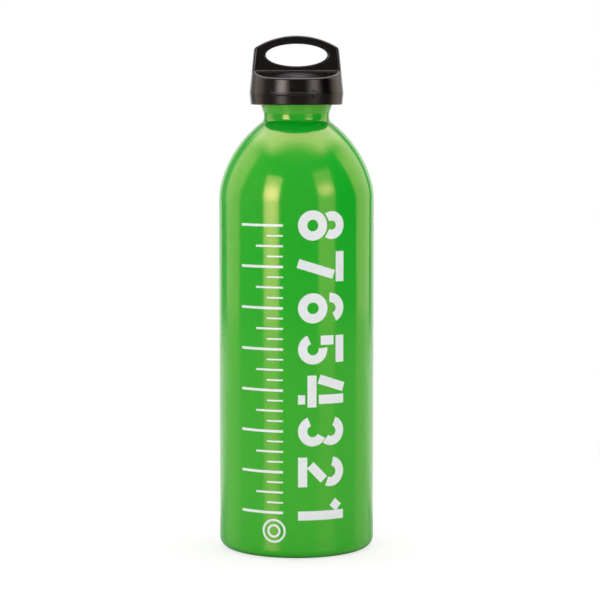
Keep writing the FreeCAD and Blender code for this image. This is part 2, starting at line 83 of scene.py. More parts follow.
# How far a bare face of the bottle looks away from the axis at most, and up at least, in shares of its normal
INSIDE_OUTWARD = -0.05
INSIDE_FLOOR_UP = 0.5
RIM_UP = 0.3

# Outline of the lacquered outside, from the base up to the bead of the neck
BASE_CORNER = 0.005
BODY_HEIGHT = 0.181
SHOULDER_LOWER_RADIUS = 0.0345
SHOULDER_LOWER_ANGLE = 15.3
SHOULDER_UPPER_RADIUS = 0.0571
NECK_WAIST_RADIUS = 0.0168
NECK_WAIST_LENGTH = 0.0037
NECK_ROOT_ROUND = 0.0030
NECK_FLARE_LENGTH = 0.0044
NECK_FLARE_ROUND = 0.0060
NECK_BEAD_RADIUS = 0.0184
NECK_RIM_MARGIN = 0.0006

# Coat of lacquer: how far it stands on the metal, how deep its underside lies, where it ends under the base,
# in degrees, and the points of its grid
COAT_THICKNESS = 0.00007
COAT_SINK = 0.00015
COAT_FOOT_ANGLE = -78
COAT_STEPS_ROUND = 240
COAT_STEPS_BELOW = 6

# Skirt of the cap: its radius is a straight line below and above its widest level
SKIRT_RADIUS = CAP_HIGH.x
SKIRT_WIDEST_LEVEL = CAP_LOW.z + 0.0059
SKIRT_SLOPE_BELOW = 0.1017
SKIRT_SLOPE_ABOVE = -0.0998

# Front lip of the deck under the handle, as high over the foot of the cap as in the source. The cap's finish
# paints a highlight round it
DECK_LIP_LEVEL = CAP_LOW.z + 0.0134

# Print on the body: a filling scale in tenths of a litre
INK_THICKNESS = 0.00004
INK_SINK = 0.00006
INK_EDGE_SHARE = 0.06
INK_STEPS_ACROSS = 8
BAR_STEPS = 24
ARC_STEPS = 64
TENTH_OF_LITRE = 0.0001
SCALE_FOOT = 0.0032
NUMERAL_HEIGHT = 0.0245
NUMERAL_START = 0.0008
NUMERAL_WIDTH_SHARE = 0.62
NUMERAL_STROKE_SHARE = 0.19
TICK_START = -0.0068
TICKS_IN_STEP = 4
TICK_LENGTHS = (0.0235, 0.0085, 0.0145, 0.0085)
TICK_WIDTHS = (0.0013, 0.0008, 0.0010, 0.0008)
RING_PLACE = (-0.0116, 0.0146)
RING_RADII = (0.0056, 0.0029)
RING_STROKE = 0.0011

# Numerals as bars (from, to) and arcs (middle, radii, first and last angle), in shares of their height
NUMERAL_SHARES = {
    1: [((0.10, 0.735), (0.225, 0.885)), ((0.37, 0.0), (0.37, 1.0))],
    2: [((0.31, 0.690), (0.215, 0.215), 168, -22), ((0.468, 0.545), (0.165, 0.255)),
        ((0.0, 0.095), (0.62, 0.095))],
    3: [((0.31, 0.705), (0.205, 0.200), 160, -38), ((0.31, 0.305), (0.215, 0.210), 62, -160)],
    4: [((0.265, 1.0), (0.075, 0.44)), ((0.0, 0.29), (0.66, 0.29)), ((0.50, 0.435), (0.50, 1.0)),
        ((0.50, 0.0), (0.50, 0.145))],
    5: [((0.03, 0.905), (0.59, 0.905)), ((0.125, 0.76), (0.125, 0.475)),
        ((0.31, 0.31), (0.215, 0.215), 97, -158)],
    6: [((0.31, 0.31), (0.215, 0.215), 0, 360), ((0.31, 0.665), (0.215, 0.240), 180, 28)],
    7: [((0.0, 0.905), (0.62, 0.905)), ((0.475, 0.76), (0.235, 0.0))],
    8: [((0.31, 0.305), (0.215, 0.210), 0, 360), ((0.31, 0.715), (0.190, 0.190), 212, -32)],
}

# Raised arrows on the skirt of the cap
ARROW_LIFT = 0.00050
ARROW_SINK = 0.00025
ARROW_LEVEL = CAP_LOW.z + 0.0054
ARROW_HALF_LENGTH = 0.0135
ARROW_SHAFT = 0.0009
ARROW_HEAD = 0.0027
ARROW_HEAD_LENGTH = 0.0052
ARROW_HEAD_STEP = 0.00002
ARROW_TIP_SHARE = 0.04
ARROW_STEPS_ACROSS = 16
ARROW_SHAFT_STEPS = 40
ARROW_HEAD_STEPS = 24

# Spring under the cap
SPRING_WIRE = 0.0011
SPRING_TURNS = 7
SPRING_STEPS_IN_TURN = 48
SPRING_STEPS_ROUND_WIRE = 16

# Edges that turn by more than this, in degrees, are shaded as sharp
SHARP_ANGLE = 40

# Colours of the finishes
LACQUER_DEEP = (0.002, 0.347, 0.016, 1)
LACQUER_PALE = (0.004, 0.370, 0.019, 1)
LACQUER_GLOSS = (1.0, 0.60, 0.30, 1)
WORN_METAL = (0.62, 0.62, 0.63, 1)
METAL_DARKER = 0.82
MOULDED_GLOSS = (1.0, 0.87, 0.82, 1)
INK_THIN = (0.63, 0.66, 0.66, 1)
INK_FULL = (0.68, 0.705, 0.705, 1)

# Depth of the lacquer's peel and of the grain of metal and ink, and of the grain of moulded plastic
FINE_DEPTH = 0.00001
MOULDED_DEPTH = 0.00005

# Where noise turns into rub marks, into the patches that hold them, and into wear
RUB_PEAKS = (0.60, 0.74)
RUB_PATCHES = (0.45, 0.65)
RUB_PATCHES_PER_METRE = 35.0
WEAR_RAGGED = 1.6
WEAR_STEP = (0.10, 0.45)

# Clouds or grain from the first to the second of these take a roughness from its lowest to its highest
CLOUD_STEP = (0.3, 0.7)
ROUGHNESS_SPREAD = 0.05
INK_ROUGHNESS = (0.34, 0.44)

# Colours of the light: plain, and off the side walls
PLAIN = (1.0, 1.0, 1.0)
WARM = (1.0, 0.89, 0.76)

# Floor: half of its size; how far out the camera sees it start and end to turn white, and how white it starts
# out; its shade, plain and in reflections, and its polish
FLOOR_REACH = 3.0
FLOOR_FADE = (0.05, 0.42)
FLOOR_WHITE_NEAR = 0.70
FLOOR_SHADE = (0.80, 0.80, 0.80, 1)
FLOOR_MIRRORED = (0.40, 0.40, 0.40, 1)
FLOOR_POLISH = (0.75, 0.75, 0.75, 1)
FLOOR_POLISH_ROUGHNESS = 0.08

# White backdrop that gloss sees on the floor, from a place this high on the bottle's axis: the steps to white
# as the way turns to the back, for the whole floor and for its close part, and where the close part ends
BACKDROP_EYE = 0.1
BACKDROP_STEP = (0.80, 0.88)
BACKDROP_CLOSE_STEP = (0.38, 0.70)
BACKDROP_CLOSE_REACH = (0.7, 1.3)

# Room that light and gloss see. Each step: an axis, two shares of the way along it, and the strength at each
ROOM_STEPS = (
    ("Y", 0.83, 0.88, 0.0, 1.0),
    ("X", -1.00, 0.40, 0.36, 0.00),
    ("X", 0.40, 1.00, 0.22, 0.01),
    ("Z", 0.60, 0.95, 0.02, 0.45),
)

# Camera, with its sensor and lens in millimetres and its tilt in degrees below the level
CAMERA_PLACE = (0.0018, -1.150, 0.238)
CAMERA_TILT = 5.435
CAMERA_SENSOR = 36.0
CAMERA_LENS = 133.4


def grid_faces(rows, columns, closed_path):
    """Quads of a grid whose columns close on themselves, and whose rows do so where the path is closed.

    Corner (i, j) has number i * columns + j. Each quad takes the corners (i, j), (i, j + 1), (i + 1, j + 1)
    and (i + 1, j).
    """
    steps = rows if closed_path else rows - 1
    i, j = np.meshgrid(np.arange(steps), np.arange(columns), indexing="ij")
    ahead, beside = (i + 1) % rows, (j + 1) % columns
    corners = [i * columns + j, i * columns + beside, ahead * columns + beside, ahead * columns + j]
    return np.stack([corner.ravel() for corner in corners], axis=1)


def end_faces(rows, columns):
    """Quads that close both ends of a tube: across each end, corner k joins corner columns - 1 - k."""
    k = np.arange(columns // 2 - 1)
    first = np.stack([k, columns - 1 - k, columns - 2 - k, k + 1], axis=1)
    last = first[:, ::-1] + (rows - 1) * columns
    return np.concatenate([first, last])


def tube(points, closed_path=False):
    """Points (path, section, 3) with the faces that close them into one solid."""
    rows, columns = points.shape[:2]
    faces = [grid_faces(rows, columns, closed_path)]
    if not closed_path:
        faces.append(end_faces(rows, columns))
    return points.reshape(-1, 3), np.concatenate(faces)


def make_piece(name, parts, material, body):
    """One mesh object from solids given as points and quads, riding on a body and taking a slot's finish."""
    counts = np.cumsum([0] + [len(points) for points, _ in parts])
    points = np.concatenate([points for points, _ in parts])
    faces = np.concatenate([faces + start for (_, faces), start in zip(parts, counts)])
    mesh = bpy.data.meshes.new(name)
    mesh.from_pydata(points, [], faces.tolist())
    mesh.polygons.foreach_set("use_smooth", np.ones(len(faces), bool))
    mesh.materials.append(material)
    mesh.validate()
    piece = bpy.data.objects.new(name, mesh)
    bpy.context.scene.collection.objects.link(piece)
    mesh.set_sharp_from_angle(angle=math.radians(SHARP_ANGLE))
    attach(piece, body)
    return piece


def stroke_section(across, lifts, sink):
    """Across a stroke: places from -1 to 1 with their lifts on top, then back from 1 to -1 at the sink."""
    return np.concatenate([across, across[::-1]]), np.concatenate([lifts, np.full(len(across), -sink)])


def ink_section():
    """Section of a printed stroke: flat on top, with its foot just under the lacquer."""
    inner = np.linspace(INK_EDGE_SHARE - 1, 1 - INK_EDGE_SHARE, INK_STEPS_ACROSS - 2)
    across = np.concatenate([[-1], inner, [1]])
    return stroke_section(across, np.full(INK_STEPS_ACROSS, INK_THICKNESS), INK_SINK)


def arrow_section():
    """Section of a raised arrow: rounded, with the arrow's lift times sin a on top at the place -cos a."""
    turn = np.linspace(0, math.pi, ARROW_STEPS_ACROSS)
    return stroke_section(-np.cos(turn), ARROW_LIFT * np.sin(turn), ARROW_SINK)


def sweep(line, half_width, section, radius_at, closed=False):
    """A stroke's section carried along a line that is drawn on a round wall.

    The line holds (distance round the wall, height). Each point moves across the line by half_width times the
    place in the section, then onto the wall: radius = radius_at(height) + lift, and angle = distance / the
    wall's radius.
    """
    across, lifts = section
    ahead = np.roll(line, -1, axis=0) - np.roll(line, 1, axis=0) if closed else np.gradient(line, axis=0)
    ahead /= np.linalg.norm(ahead, axis=1, keepdims=True)
    side = np.stack([-ahead[:, 1], ahead[:, 0]], axis=1)
    reach = np.broadcast_to(half_width, len(line))[:, None, None] * across[None, :, None]
    flat = line[:, None, :] + side[:, None, :] * reach
    wall = radius_at(flat[..., 1])
    angle = flat[..., 0] / wall
    radius = wall + lifts
    points = np.stack([radius * np.sin(angle), -radius * np.cos(angle), flat[..., 1]], axis=2)
    return tube(points[:, ::-1], closed)


def body_wall(height):
    """Radius of the lacquer on the straight wall of the bottle, the same at every height."""
    return np.full_like(height, BODY_RADIUS + COAT_THICKNESS)


def skirt_wall(height):
    """Radius of the cap's skirt: its widest radius less a slope times the distance from the widest level."""
    off = height - SKIRT_WIDEST_LEVEL
    return SKIRT_RADIUS + np.where(off < 0, SKIRT_SLOPE_BELOW, SKIRT_SLOPE_ABOVE) * off


def coat_outline():
    """Outline of the lacquered outside: its points (radius, height) and the way the surface looks at each.

    It is a row of arcs, middle + radius * (cos f, sin f), where f is how far above the level the surface
    looks. A hollow arc has a negative radius. Straight walls join the end of one arc to the start of the
    next.
    """
    turn = math.radians(SHOULDER_LOWER_ANGLE)
    foot = math.radians(COAT_FOOT_ANGLE)
    lower_radius = BODY_RADIUS - SHOULDER_LOWER_RADIUS
    upper_radius = lower_radius + (SHOULDER_LOWER_RADIUS - SHOULDER_UPPER_RADIUS) * math.cos(turn)
    upper_level = BODY_HEIGHT + (SHOULDER_LOWER_RADIUS - SHOULDER_UPPER_RADIUS) * math.sin(turn)
    shoulder_rise = math.sqrt(SHOULDER_UPPER_RADIUS ** 2 - (NECK_WAIST_RADIUS - upper_radius) ** 2)
    root_radius = NECK_WAIST_RADIUS + NECK_ROOT_ROUND
    root_rise = math.sqrt((SHOULDER_UPPER_RADIUS + NECK_ROOT_ROUND) ** 2 - (root_radius - upper_radius) ** 2)
    root = math.atan2(root_rise, root_radius - upper_radius)
    lean = math.atan2(NECK_BEAD_RADIUS - NECK_WAIST_RADIUS, NECK_FLARE_LENGTH)
    tangent = NECK_FLARE_ROUND * math.tan(lean / 2)
    flare_level = upper_level + shoulder_rise + NECK_WAIST_LENGTH
    bead_level = flare_level + NECK_FLARE_LENGTH
    # Each arc: its middle's radius and level, its own radius, the first and last f, and its number of points
    arcs = [
        (BODY_RADIUS - BASE_CORNER, BASE_CORNER, BASE_CORNER, foot, 0, 16),
        (lower_radius, BODY_HEIGHT, SHOULDER_LOWER_RADIUS, 0, turn, 24),
        (upper_radius, upper_level, SHOULDER_UPPER_RADIUS, turn, root, 64),
        (root_radius, upper_level + root_rise, -NECK_ROOT_ROUND, root, 0, 24),
        (NECK_WAIST_RADIUS + NECK_FLARE_ROUND, flare_level - tangent, -NECK_FLARE_ROUND, 0, -lean, 12),
        (NECK_BEAD_RADIUS - NECK_FLARE_ROUND, bead_level + tangent, NECK_FLARE_ROUND, -lean, 0, 12),
        (NECK_BEAD_RADIUS, RIM_LEVEL - NECK_RIM_MARGIN, 0, 0, 0, 1),
    ]
    look = np.concatenate([np.linspace(first, last, count) for *_, first, last, count in arcs])
    counts = [arc[-1] for arc in arcs]
    middle = np.repeat([arc[:2] for arc in arcs], counts, axis=0)
    reach = np.repeat([arc[2] for arc in arcs], counts)[:, None]
    facing = np.stack([np.cos(look), np.sin(look)], axis=1)
    return middle + reach * facing, facing


def make_coat(material):
    """Green lacquer over the outside of the bottle: its outline, lifted off the metal, turned about the axis.

    The section goes up the outside and back down under the surface, and each of its points (r, z) goes to
    (r sin a, -r cos a, z).
    """
    outline, facing = coat_outline()
    below = outline[::-COAT_STEPS_BELOW] - COAT_SINK * facing[::-COAT_STEPS_BELOW]
    section = np.concatenate([outline + COAT_THICKNESS * facing, below])
    angle = np.linspace(0, 2 * math.pi, COAT_STEPS_ROUND, endpoint=False)[:, None]
    radius = section[None, :, 0]
    level = np.broadcast_to(section[:, 1], (COAT_STEPS_ROUND, len(section)))
    points = np.stack([radius * np.sin(angle), -radius * np.cos(angle), level], axis=2)
    make_piece("lacquer_coat", [tube(points[:, ::-1], True)], material, "bottle")


def bar_line(start, end):
    """Points evenly spaced from start to end."""
    return np.linspace(start, end, BAR_STEPS)


def arc_line(middle, radii, first, last):
    """Points of an ellipse: middle + radii * (cos a, sin a), from the first angle to the last, in degrees."""
    whole = abs(last - first) == 360
    angle = np.radians(np.linspace(first, last, ARC_STEPS, endpoint=not whole))
    return np.asarray(middle) + np.asarray(radii) * np.stack([np.cos(angle), np.sin(angle)], axis=1)


def step_level(step):
    """Height that a number of tenths of a litre fills the bottle to."""
    inner_area = math.pi * (BODY_RADIUS - BODY_WALL) ** 2
    return SCALE_FOOT + step * TENTH_OF_LITRE / inner_area


def make_numerals(material):
    """Plain stencilled numerals up the body, turned a quarter to the right as they stand on the wall.

    A place (right, up) in the numeral goes to (start + up, level - right) on the wall.
    """
    parts = []
    half_width = NUMERAL_STROKE_SHARE * NUMERAL_HEIGHT / 2
    for step, strokes in NUMERAL_SHARES.items():
        for stroke in strokes:
            line = bar_line(*stroke) if len(stroke) == 2 else arc_line(*stroke)
            right = line[:, 0] - NUMERAL_WIDTH_SHARE / 2
            place = np.stack([NUMERAL_START + line[:, 1] * NUMERAL_HEIGHT,
                              step_level(step) - right * NUMERAL_HEIGHT], axis=1)
            closed = len(stroke) == 4 and abs(stroke[3] - stroke[2]) == 360
            parts.append(sweep(place, half_width, ink_section(), body_wall, closed))
    make_piece("print_numerals", parts, material, "bottle")


def make_ticks(material):
    """Level lines of the filling scale: a long one at each step and shorter ones between."""
    parts = []
    first, last = min(NUMERAL_SHARES), max(NUMERAL_SHARES)
    for tick in range((last - first) * TICKS_IN_STEP + 1):
        level = step_level(first + tick / TICKS_IN_STEP)
        kind = tick % TICKS_IN_STEP
        line = bar_line((TICK_START - TICK_LENGTHS[kind], level), (TICK_START, level))
        parts.append(sweep(line, TICK_WIDTHS[kind] / 2, ink_section(), body_wall))
    make_piece("print_ticks", parts, material, "bottle")


def make_rings(material):
    """Two plain rings, one in the other, low on the body."""
    parts = []
    for radius in RING_RADII:
        line = arc_line(RING_PLACE, (radius, radius), 0, 360)
        parts.append(sweep(line, RING_STROKE / 2, ink_section(), body_wall, closed=True))
    make_piece("print_rings", parts, material, "bottle")


def make_arrows(material):
    """Raised arrows that show which way the cap opens, one on the front of the skirt and one on the back.

    Half of the width along the arrow is the shaft's up to the head, then the head's, which shrinks evenly to
    the tip.
    """
    head_start = ARROW_HALF_LENGTH - ARROW_HEAD_LENGTH
    along = np.concatenate([np.linspace(-ARROW_HALF_LENGTH, head_start, ARROW_SHAFT_STEPS),
                            np.linspace(head_start + ARROW_HEAD_STEP, ARROW_HALF_LENGTH, ARROW_HEAD_STEPS)])
    to_tip = (ARROW_HALF_LENGTH - along) / ARROW_HEAD_LENGTH
    half_width = np.where(along > head_start, ARROW_HEAD * np.maximum(to_tip, ARROW_TIP_SHARE), ARROW_SHAFT)
    half_round = math.pi * float(skirt_wall(np.array(ARROW_LEVEL)))
    parts = []
    for start in (0, half_round):
        line = np.stack([start + along, np.full_like(along, ARROW_LEVEL)], axis=1)
        parts.append(sweep(line, half_width, arrow_section(), skirt_wall))
    make_piece("cap_arrows", parts, material, "cap")


def make_spring(material):
    """Coil spring: a circle of wire carried round a helix, with heights cut off flat at both ends.

    Middle line: (r cos a, r sin a, foot + height * a / (2 pi turns)). The wire's circle lies in the plane of
    the outward and the upward direction.
    """
    radius = SPRING_HIGH.x - SPRING_WIRE / 2
    foot, height = SPRING_LOW.z, SPRING_HIGH.z - SPRING_LOW.z
    turn = np.linspace(0, 2 * math.pi * SPRING_TURNS, SPRING_STEPS_IN_TURN * SPRING_TURNS + 1)[:, None]
    round_wire = (np.arange(SPRING_STEPS_ROUND_WIRE) + 0.5) / SPRING_STEPS_ROUND_WIRE * 2 * math.pi
    out = radius + SPRING_WIRE / 2 * np.cos(round_wire)
    level = foot + height * turn / turn[-1] + SPRING_WIRE / 2 * np.sin(round_wire)
    points = np.stack([out * np.cos(turn), out * np.sin(turn), np.clip(level, foot, foot + height)], axis=2)
    piece = make_piece("coil_spring", [tube(points)], material, "plug")
    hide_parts("push_spring")
    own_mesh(piece)


def set_sockets(node, settings):
    """Plain values on a node's input sockets, which are named with underscores for spaces."""
    for name, setting in settings.items():
        node.inputs[name.replace("_", " ")].default_value = setting


def feed(tree, socket, entry):
    """One socket's entry: another node's output is linked to it, and a number or colour is its own value."""
    if isinstance(entry, bpy.types.NodeSocket):
        tree.links.new(entry, socket)
    else:
        socket.default_value = entry


def add_node(tree, kind, **settings):
    """A shader node with plain values on its input sockets."""
    node = tree.nodes.new(kind)
    set_sockets(node, settings)
    return node


def math_node(tree, operation, *entries):
    """Arithmetic on values, each a number or another node's output."""
    node = tree.nodes.new("ShaderNodeMath")
    node.operation = operation
    for socket, entry in zip(node.inputs, entries):
        feed(tree, socket, entry)
    return node.outputs[0]


def vector_node(tree, operation, *entries):
    """Arithmetic on vectors, each three numbers or another node's output."""
    node = tree.nodes.new("ShaderNodeVectorMath")
    node.operation = operation
    for socket, entry in zip(node.inputs, entries):
        feed(tree, socket, entry)
    return node.outputs["Value" if operation == "LENGTH" else "Vector"]


def object_place(tree):
    """The place on the object, in metres."""
    return tree.nodes.new("ShaderNodeTexCoord").outputs["Object"]


def split_vector(tree, vector):
    """The X, Y and Z of a vector, by name."""
    node = tree.nodes.new("ShaderNodeSeparateXYZ")
    tree.links.new(vector, node.inputs["Vector"])
    return node.outputs


def noise_node(tree, place, scale, detail, roughness=0.5):
    """Noise over a place, at a scale that is a number or another node's output."""
    node = add_node(tree, "ShaderNodeTexNoise", Detail=detail, Roughness=roughness)
    tree.links.new(place, node.inputs["Vector"])
    feed(tree, node.inputs["Scale"], scale)
    return node.outputs["Fac"]


def ramp_node(tree, entry, low, high, to_low=0.0, to_high=1.0):
    """A smooth step from one value to another as the entry goes from low to high."""
    node = tree.nodes.new("ShaderNodeMapRange")
    node.interpolation_type = "SMOOTHSTEP"
    tree.links.new(entry, node.inputs["Value"])
    set_sockets(node, {"From Min": low, "From Max": high, "To Min": to_low, "To Max": to_high})
    return node.outputs["Result"]


def mix_colours(tree, share, first, second):
    """A mix of two colours, each four numbers or another node's output, by a share."""
    node = tree.nodes.new("ShaderNodeMix")
    node.data_type = "RGBA"
    tree.links.new(share, node.inputs["Factor"])
    for name, entry in (("A", first), ("B", second)):
        feed(tree, next(s for s in node.inputs if s.name == name and s.type == "RGBA"), entry)
    return next(s for s in node.outputs if s.type == "RGBA")


def new_group(name, inputs, outputs):
    """An empty shader group with value sockets, and its entry and exit nodes."""
    group = bpy.data.node_groups.new(name, "ShaderNodeTree")
    for label, start in inputs.items():
        socket = group.interface.new_socket(name=label, in_out="INPUT", socket_type="NodeSocketFloat")
        socket.default_value = start
    for label in outputs:
        group.interface.new_socket(name=label, in_out="OUTPUT", socket_type="NodeSocketFloat")
    return group, group.nodes.new("NodeGroupInput"), group.nodes.new("NodeGroupOutput")


def make_grain_group():
    """Fine moulded grain: noise at the grain's own scale, and broad clouds that shade it."""
    group, entry, result = new_group("fine_grain", {"Grain per metre": 3000.0, "Clouds per metre": 60.0},
                                     ("Height", "Clouds"))
    place = object_place(group)
    for scale, detail, output in (("Grain per metre", 3.0, "Height"), ("Clouds per metre", 4.0, "Clouds")):
        noise = noise_node(group, place, entry.outputs[scale], detail, roughness=0.55)
        group.links.new(noise, result.inputs[output])
    return group


def make_rub_group():
    """Hairline rub marks: noise drawn out along the height, kept where it peaks and where patches allow."""
    group, entry, result = new_group("rub_marks", {"Lines per metre": 900.0, "Stretch": 0.03}, ("Marks",))
    place = object_place(group)
    squeeze = add_node(group, "ShaderNodeCombineXYZ", X=1.0, Y=1.0)
    group.links.new(entry.outputs["Stretch"], squeeze.inputs["Z"])
    drawn = vector_node(group, "MULTIPLY", place, squeeze.outputs["Vector"])
    lines = noise_node(group, drawn, entry.outputs["Lines per metre"], 2.0)
    peaks = ramp_node(group, lines, *RUB_PEAKS)
    patches = ramp_node(group, noise_node(group, place, RUB_PATCHES_PER_METRE, 2.0), *RUB_PATCHES)
    group.links.new(math_node(group, "MULTIPLY", peaks, patches), result.inputs["Marks"])
    return group


def make_wear_and_highlight_group():
    """A band round one level, for wear and for a painted highlight: full at the level, none past the reach,
    with a ragged edge from noise.
    """
    group, entry, result = new_group("level_wear_and_highlight", {"Level": 0.0, "Reach": 0.001, "Ragged per metre": 500.0},
                                     ("Worn",))
    place = object_place(group)
    off = math_node(group, "SUBTRACT", split_vector(group, place)["Z"], entry.outputs["Level"])
    share = math_node(group, "DIVIDE", math_node(group, "ABSOLUTE", off), entry.outputs["Reach"])
    noise = noise_node(group, place, entry.outputs["Ragged per metre"], 4.0)
    left = math_node(group, "SUBTRACT", math_node(group, "MULTIPLY", noise, WEAR_RAGGED), share)
    group.links.new(ramp_node(group, left, *WEAR_STEP), result.inputs["Worn"])
    return group


def place_group(tree, group, **settings):
    """A group placed in a material with its own values."""
    node = tree.nodes.new("ShaderNodeGroup")
    node.node_tree = group
    set_sockets(node, settings)
    return node


def new_finish(name, **settings):
    """A material with one Principled shader, whose plain values are set on its own sockets."""
    material = bpy.data.materials.new(name)
    material.use_nodes = True
    tree = material.node_tree
    shader = tree.nodes["Principled BSDF"]
    set_sockets(shader, settings)
    return material, tree, shader


def add_bump(tree, shader, height, distance, strength=1.0):
    """Bump on the shader's normal from a height."""
    bump = add_node(tree, "ShaderNodeBump", Strength=strength, Distance=distance)
    tree.links.new(height, bump.inputs["Height"])
    tree.links.new(bump.outputs["Normal"], shader.inputs["Normal"])


def add_rubbed_roughness(tree, shader, rubs, plain, added):
    """Roughness that is plain, and more by what is added where the surface is rubbed."""
    rough = math_node(tree, "MULTIPLY_ADD", rubs.outputs["Marks"], added, plain)
    tree.links.new(rough, shader.inputs["Roughness"])


def make_lacquer():
    """Green lacquer with a warm gloss, a trace of orange peel and bare metal where the bottle stands."""
    material, tree, shader = new_finish("green_lacquer", IOR=1.6, Specular_IOR_Level=1.0,
                                        Specular_Tint=LACQUER_GLOSS)
    peel = place_group(tree, GRAIN, Grain_per_metre=420.0, Clouds_per_metre=14.0)
    rubs = place_group(tree, RUBS)
    worn = place_group(tree, WEAR_AND_HIGHLIGHT, Level=0.0, Reach=0.0005)
    green = mix_colours(tree, peel.outputs["Clouds"], LACQUER_DEEP, LACQUER_PALE)
    colour = mix_colours(tree, worn.outputs["Worn"], green, WORN_METAL)
    tree.links.new(colour, shader.inputs["Base Color"])
    tree.links.new(worn.outputs["Worn"], shader.inputs["Metallic"])
    add_rubbed_roughness(tree, shader, rubs, plain=0.10, added=0.10)
    add_bump(tree, shader, peel.outputs["Height"], FINE_DEPTH, strength=0.25)
    return material


def make_metal(name, colour, lines_per_metre, roughness):
    """Bare metal with fine drawn lines that lift its roughness, and a faint grain."""
    material, tree, shader = new_finish(name, Metallic=1.0)
    rubs = place_group(tree, RUBS, Lines_per_metre=lines_per_metre, Stretch=0.05)
    grain = place_group(tree, GRAIN, Grain_per_metre=1800.0, Clouds_per_metre=90.0)
    darker = tuple(METAL_DARKER * c for c in colour[:3]) + (1,)
    tree.links.new(mix_colours(tree, grain.outputs["Clouds"], darker, colour), shader.inputs["Base Color"])
    add_rubbed_roughness(tree, shader, rubs, plain=roughness, added=0.18)
    add_bump(tree, shader, grain.outputs["Height"], FINE_DEPTH, strength=0.3)
    return material


def make_moulded(name, dark, light, roughness, grain_per_metre, scuff_and_highlight, scuff_and_highlight_levels):
    """Moulded plastic or rubber: fine grain, faint clouds, and pale bands round the levels of its edges.

    Each band is a level and how far it reaches from it. The bands are scuffs, but the one round the cap's
    deck lip is a painted highlight.
    """
    material, tree, shader = new_finish(name, Specular_IOR_Level=0.5, Specular_Tint=MOULDED_GLOSS)
    grain = place_group(tree, GRAIN, Grain_per_metre=grain_per_metre, Clouds_per_metre=70.0)
    tone = mix_colours(tree, grain.outputs["Clouds"], dark, light)
    # Pale bands: scuffs, and round the cap's deck lip a painted highlight
    for level, reach in scuff_and_highlight_levels:
        worn = place_group(tree, WEAR_AND_HIGHLIGHT, Level=level, Reach=reach, Ragged_per_metre=700.0)
        tone = mix_colours(tree, worn.outputs["Worn"], tone, scuff_and_highlight)
    tree.links.new(tone, shader.inputs["Base Color"])
    rough = ramp_node(tree, grain.outputs["Clouds"], *CLOUD_STEP, roughness - ROUGHNESS_SPREAD,
                      roughness + ROUGHNESS_SPREAD)
    tree.links.new(rough, shader.inputs["Roughness"])
    add_bump(tree, shader, grain.outputs["Height"], MOULDED_DEPTH)
    return material


def make_ink():
    """White screen-printed ink, a little thinner in places."""
    material, tree, shader = new_finish("white_ink", Coat_Weight=0.4, Coat_Roughness=0.12)
    grain = place_group(tree, GRAIN, Grain_per_metre=1500.0, Clouds_per_metre=120.0)
    white = mix_colours(tree, grain.outputs["Clouds"], INK_THIN, INK_FULL)
    tree.links.new(white, shader.inputs["Base Color"])
    rough = ramp_node(tree, grain.outputs["Height"], *CLOUD_STEP, *INK_ROUGHNESS)
    tree.links.new(rough, shader.inputs["Roughness"])
    add_bump(tree, shader, grain.outputs["Height"], FINE_DEPTH, strength=0.2)
    return material


def finish_bottle(lacquer, aluminium):
    """Lacquer on every face of the shell that looks outwards, bare aluminium on the inside, thread and rim.

    A face is bare if it looks towards the axis, lies in the neck's bore, or is the floor inside or the top of
    the rim.
    """
    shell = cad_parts["bottle_shell"]
    mesh = shell.data
    count = len(mesh.polygons)
    middle, normal = np.empty(count * 3), np.empty(count * 3)
    mesh.polygons.foreach_get("center", middle)
    mesh.polygons.foreach_get("normal", normal)
    middle, normal = middle.reshape(-1, 3), normal.reshape(-1, 3)
    radius = np.hypot(middle[:, 0], middle[:, 1])
    outward = (middle[:, :2] * normal[:, :2]).sum(axis=1) / np.maximum(radius, 1e-9)
    level, up = middle[:, 2], normal[:, 2]
    bare = outward < INSIDE_OUTWARD
    bare |= (radius < NECK_BORE_RADIUS) & (level > NECK_LEVEL)
    bare |= (up > INSIDE_FLOOR_UP) & (level < BASE_DEPTH)
    bare |= (up > RIM_UP) & (level > RIM_LEVEL - RIM_DEPTH)
    mesh.materials.clear()
    mesh.materials.append(lacquer)
    mesh.materials.append(aluminium)
    mesh.polygons.foreach_set("material_index", bare.astype(np.int32))
    mesh.update()


def finish_node(name, material):
    """One finish for a whole CAD node."""
    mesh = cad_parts[name].data
    mesh.materials.clear()
    mesh.materials.append(material)


def blend_shaders(tree, share, first, second):
    """A mix of two shaders by a share."""
    node = tree.nodes.new("ShaderNodeMixShader")
    for entry, socket in zip((share, first, second), node.inputs):
        tree.links.new(entry, socket)
    return node.outputs["Shader"]


